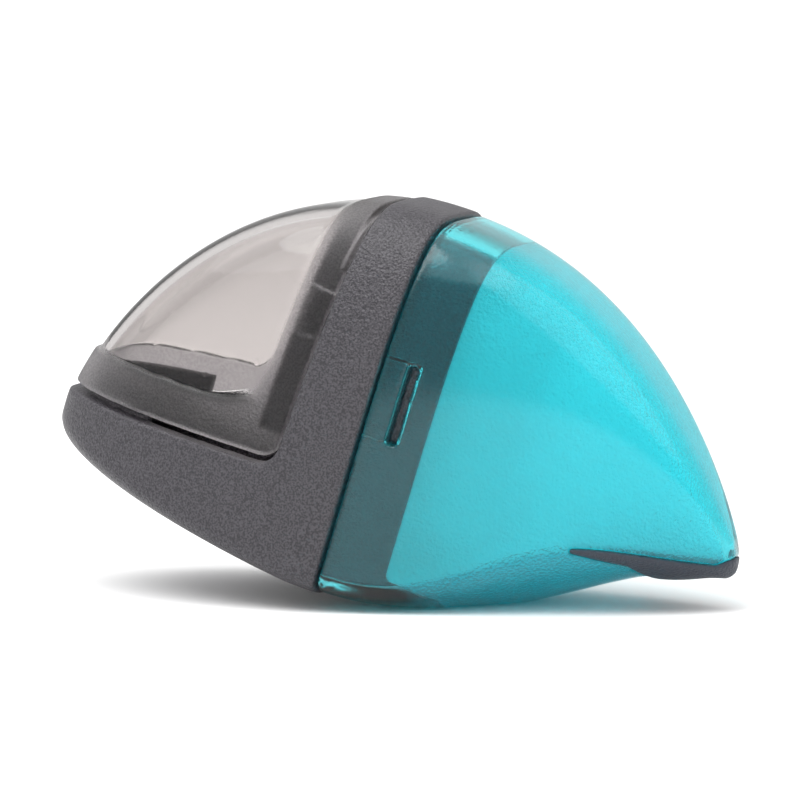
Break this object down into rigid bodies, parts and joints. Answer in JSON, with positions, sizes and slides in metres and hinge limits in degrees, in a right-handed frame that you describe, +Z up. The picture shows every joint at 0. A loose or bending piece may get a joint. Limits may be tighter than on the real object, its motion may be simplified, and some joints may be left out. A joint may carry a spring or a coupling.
{
  "type": "pencil sharpener",
  "caption": "Hand-held half-moon canister pencil sharpener with two pencil holes, a pull-off smoke cap and a pull-off tinted shavings container.",
  "frame": {"origin": "centre of the bounding box's bottom, on the table under the sharpener", "axes": "+X from the nose to the tail, +Y across to the far side, +Z up"},
  "size_m": [0.0705, 0.029, 0.0396],
  "materials": {
    "container": "transparent turquoise, glossy",
    "grip": "satin slate blue",
    "frame": "fine-grained charcoal",
    "cap": "smoke tint, polished window in a frosted rim",
    "block": "satin",
    "blade": "ground",
    "screw": "bright"
  },
  "bodies": {
    "container": {"container": "container", "tail_grip": "grip"},
    "frame": {"frame": "frame", "sharpener_block": "block", "blade_standard": "blade", "blade_jumbo": "blade", "screw_standard": "screw", "screw_jumbo": "screw"},
    "cap": {"cap": "cap"}
  },
  "joints": [
    {"name": "frame_slide", "type": "slide", "parent": "container", "child": "frame", "axis": [-0.9563, 0, 0.2924], "range_m": [0, 0.025]},
    {"name": "cap_slide", "type": "slide", "parent": "frame", "child": "cap", "axis": [-0.9563, 0, 0.2924], "range_m": [0, 0.03]}
  ]
}
